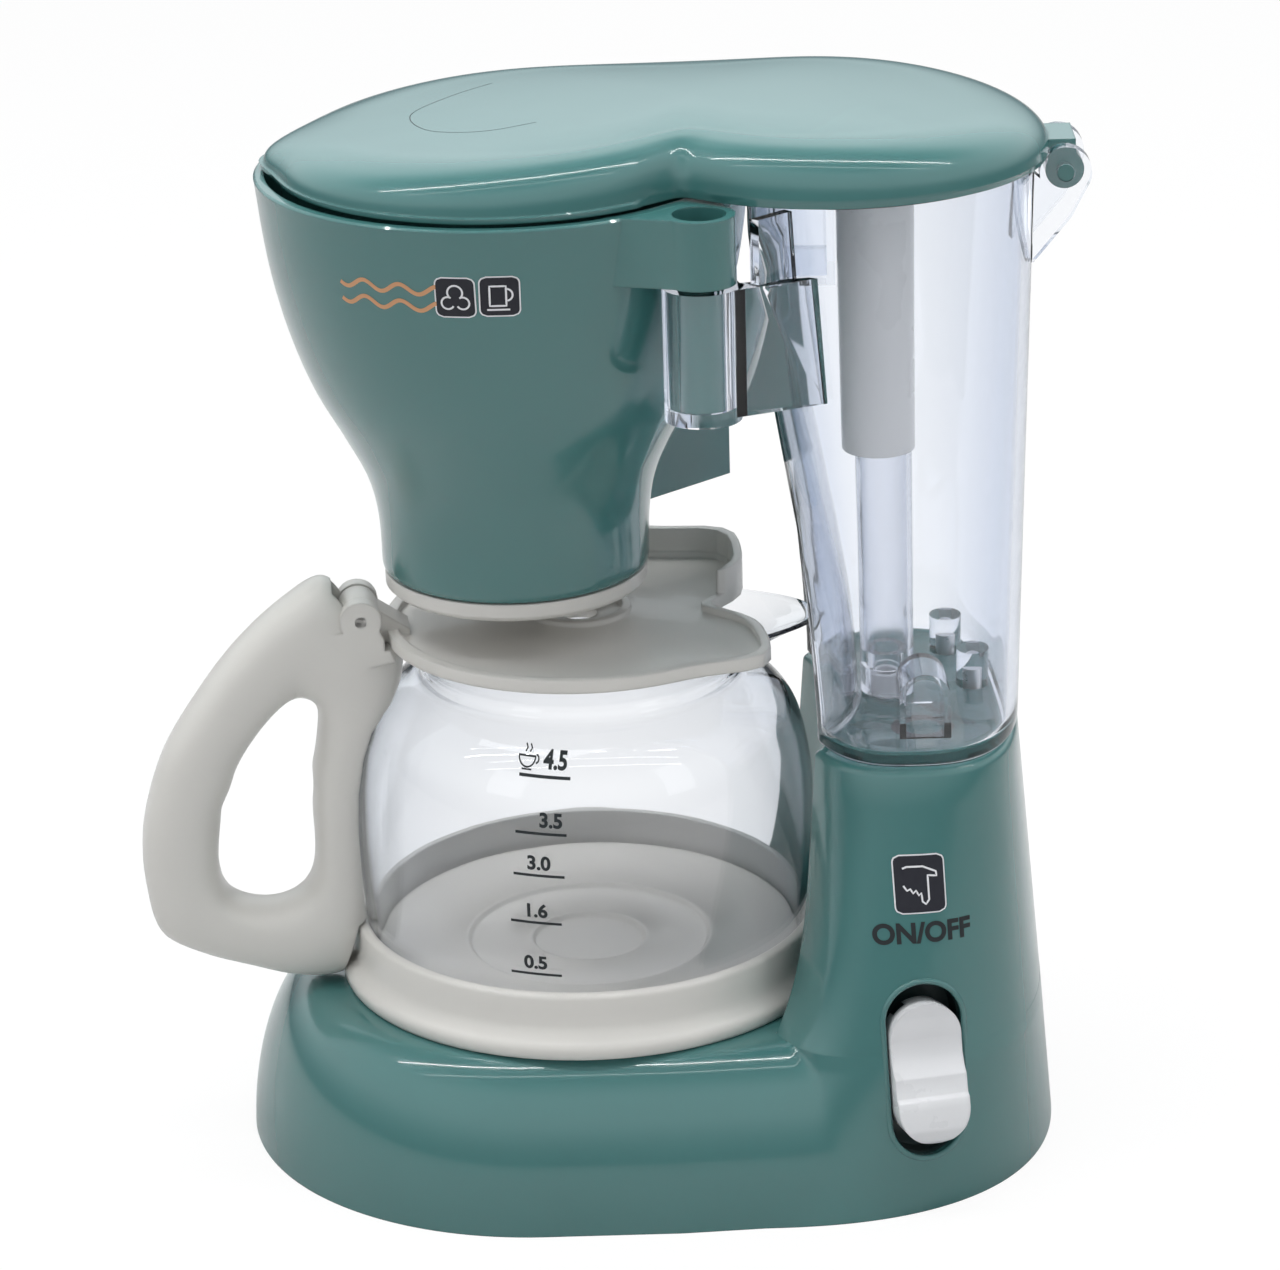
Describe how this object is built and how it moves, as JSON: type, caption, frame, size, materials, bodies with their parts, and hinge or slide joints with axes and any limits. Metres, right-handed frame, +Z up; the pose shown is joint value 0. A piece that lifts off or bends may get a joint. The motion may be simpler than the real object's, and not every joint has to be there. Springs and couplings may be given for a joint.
{
  "type": "toy coffee maker",
  "caption": "Toy drip coffee maker with a lift-out jug, a swing-out brew basket, a clear water tank with a pump, a hinged lid and a rocker switch.",
  "frame": {"origin": "middle of the underside of the base, on the surface that the toy stands on", "axes": "+X towards the water tank, -Y to the front with the switch, +Z up"},
  "size_m": [0.1738, 0.11, 0.1945],
  "materials": {
    "green": "glossy moulded plastic, teal green",
    "cream": "glossy moulded plastic, cream",
    "white": "glossy moulded plastic, white",
    "clear": "clear plastic with a faint blue tint",
    "seal": "soft seal",
    "steel": "plated steel",
    "red_lead": "insulated lead, red",
    "black_lead": "insulated lead, black",
    "cell": "plain wrapped cell"
  },
  "bodies": {
    "housing": {"base_shell": "green", "base_plate": "green", "battery_door": "green", "base_screws": "steel", "door_screw": "steel", "batteries": "cell", "battery_contacts": "steel", "power_switch": "green", "rocker_pin": "steel", "motor": "steel", "pump_housing": "white", "pump_screws": "steel", "pump_gasket": "seal", "red_wire": "red_lead", "black_wire": "black_lead", "water_tank": "clear", "tank_screws": "steel", "intake_cover": "clear", "riser_tube": "clear", "spout_sleeve": "white"},
    "lid": {"top_lid": "green", "lid_hinge_pin": "green"},
    "basket": {"brew_basket": "green", "filter_funnel": "cream"},
    "carafe": {"carafe_glass": "clear", "carafe_foot_ring": "cream", "carafe_handle": "cream", "carafe_lid_pin": "steel"},
    "carafe_lid": {"carafe_lid": "cream"},
    "rocker": {"rocker_button": "white"},
    "impeller": {"pump_impeller": "white"}
  },
  "joints": [
    {"name": "lid_hinge", "type": "hinge", "parent": "housing", "child": "lid", "pos_m": [0.0766, 0, 0.181], "axis": [0, 1, 0], "range_deg": [0, 100]},
    {"name": "basket_swing", "type": "hinge", "parent": "housing", "child": "basket", "pos_m": [0.012, -0.0365, 0.17], "axis": [0, 0, 1], "range_deg": [0, 90]},
    {"name": "carafe_pull", "type": "slide", "parent": "housing", "child": "carafe", "axis": [-1, 0, 0], "range_m": [0, 0.14]},
    {"name": "carafe_lid_hinge", "type": "hinge", "parent": "carafe", "child": "carafe_lid", "pos_m": [-0.05078, -0.00418, 0.1016], "axis": [0.1045, -0.9945, 0], "range_deg": [0, 6]},
    {"name": "rocker_tilt", "type": "hinge", "parent": "housing", "child": "rocker", "pos_m": [0.04778, -0.04028, 0.02554], "axis": [0.9744, 0.225, 0], "range_deg": [0, 14]},
    {"name": "pump_spin", "type": "hinge", "parent": "housing", "child": "impeller", "pos_m": [0.0505, -0.017, 0.06], "axis": [0, 0, 1], "continuous": true}
  ]
}
